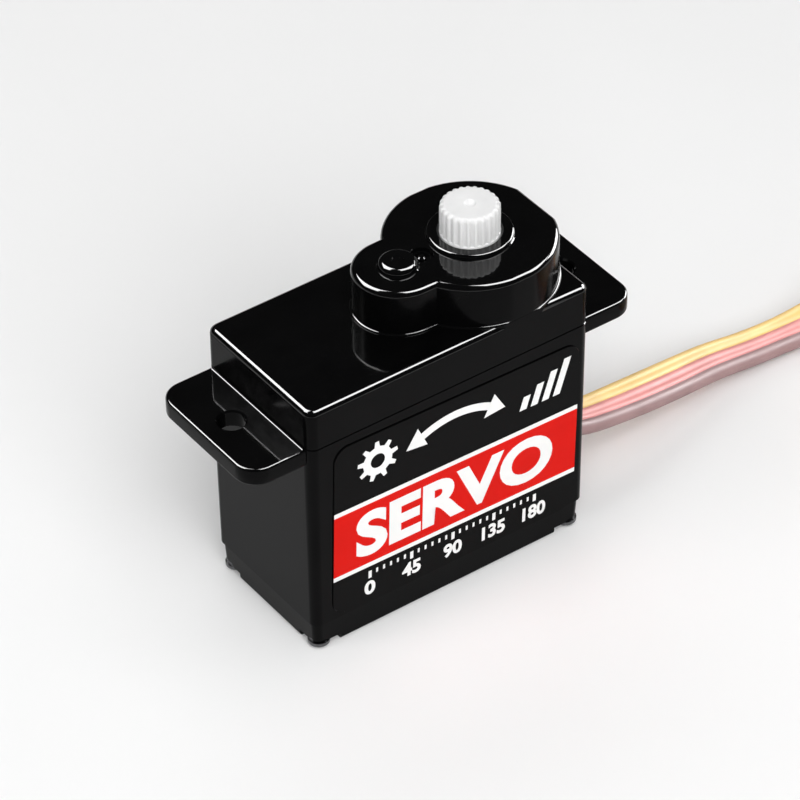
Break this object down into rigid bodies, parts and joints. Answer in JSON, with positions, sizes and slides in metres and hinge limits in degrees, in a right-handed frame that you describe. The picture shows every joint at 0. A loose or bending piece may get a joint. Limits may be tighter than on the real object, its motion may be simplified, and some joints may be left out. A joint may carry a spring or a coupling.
{
  "type": "micro servo motor",
  "caption": "Small hobby servo: flanged black plastic case with a stepped turret, splined white output gear on top and a flat three-wire lead with a plug.",
  "frame": {"origin": "middle of the case's base, without the lead", "axes": "+X along the case towards the end that the lead leaves, -Y towards the label, +Z along the output shaft"},
  "size_m": [0.0847, 0.0428, 0.0271],
  "materials": {
    "case_plastic": "near-black moulded plastic with a mirror-like gloss",
    "label_film": "printed film, black with a red band between two white lines",
    "gear_nylon": "white nylon with a soft sheen",
    "steel": "plated steel",
    "motor_steel": "drawn and nickel-plated steel",
    "inner_plastic": "dark moulded plastic",
    "wiper_plastic": "natural nylon",
    "brass": "bright brass",
    "magnet": "dark sintered ferrite",
    "winding": "enamelled copper wire on a laminated core",
    "circuit_board": "green solder mask",
    "chip_package": "black moulded package",
    "capacitor_ceramic": "tan ceramic with tinned ends",
    "phenolic": "brown phenolic board with a carbon track",
    "wire_red": "PVC insulation",
    "wire_black": "PVC insulation",
    "lead_pvc": "three PVC-covered wires side by side: yellow, red and brown",
    "plug_plastic": "black moulded plug",
    "tie_plastic": "black plastic-covered wire tie",
    "screw_steel": "black-oxide steel"
  },
  "bodies": {
    "case": {"top_case": "case_plastic", "mid_case": "case_plastic", "bottom_cover": "case_plastic", "label": "label_film", "case_screw_1": "screw_steel", "case_screw_2": "screw_steel", "case_screw_3": "screw_steel", "case_screw_4": "screw_steel", "gear_axle": "steel", "sensor_pin_1": "steel", "sensor_pin_2": "steel", "sensor_pin_3": "steel", "motor_can": "motor_steel", "motor_end_cap": "inner_plastic", "sensor_housing": "inner_plastic", "motor_brush_1": "brass", "motor_brush_2": "brass", "connector_contact_1": "brass", "connector_contact_2": "brass", "connector_contact_3": "brass", "motor_magnet_1": "magnet", "motor_magnet_2": "magnet", "control_board": "circuit_board", "control_chip": "chip_package", "driver_chip": "chip_package", "board_capacitor": "capacitor_ceramic", "sensor_element": "phenolic", "motor_wire_1": "wire_red", "motor_wire_2": "wire_black", "lead_run": "lead_pvc", "lead_coil": "lead_pvc", "lead_tail": "lead_pvc", "connector_housing": "plug_plastic", "coil_tie": "tie_plastic"},
    "output": {"output_gear": "gear_nylon", "sensor_shaft": "steel", "sensor_wiper": "wiper_plastic"},
    "first_gear": {"gear_1": "gear_nylon"},
    "second_gear": {"gear_2": "gear_nylon"},
    "third_gear": {"gear_3": "gear_nylon"},
    "rotor": {"motor_shaft": "steel", "motor_pinion": "brass", "motor_armature": "winding", "motor_commutator": "brass"}
  },
  "joints": [
    {"name": "output_turn", "type": "hinge", "parent": "case", "child": "output", "pos_m": [0.00596, 0, 0.02], "axis": [0, 0, 1], "range_deg": [-90, 90]},
    {"name": "gear_3_turn", "type": "hinge", "parent": "case", "child": "third_gear", "pos_m": [-0.00004, 0, 0.02], "axis": [0, 0, 1], "range_deg": [-270, 270]},
    {"name": "gear_2_turn", "type": "hinge", "parent": "case", "child": "second_gear", "pos_m": [0.00596, 0, 0.02], "axis": [0, 0, 1], "range_deg": [-810, 810]},
    {"name": "gear_1_turn", "type": "hinge", "parent": "case", "child": "first_gear", "pos_m": [-0.00004, 0, 0.02], "axis": [0, 0, 1], "range_deg": [-2430, 2430]},
    {"name": "motor_turn", "type": "hinge", "parent": "case", "child": "rotor", "pos_m": [-0.00544, 0, 0.02], "axis": [0, 0, 1], "range_deg": [-10692, 10692]}
  ],
  "couplings": [
    {"joint": "gear_3_turn", "follows": "output_turn", "ratio": -3},
    {"joint": "gear_2_turn", "follows": "output_turn", "ratio": 9},
    {"joint": "gear_1_turn", "follows": "output_turn", "ratio": -27},
    {"joint": "motor_turn", "follows": "output_turn", "ratio": 118.8}
  ]
}
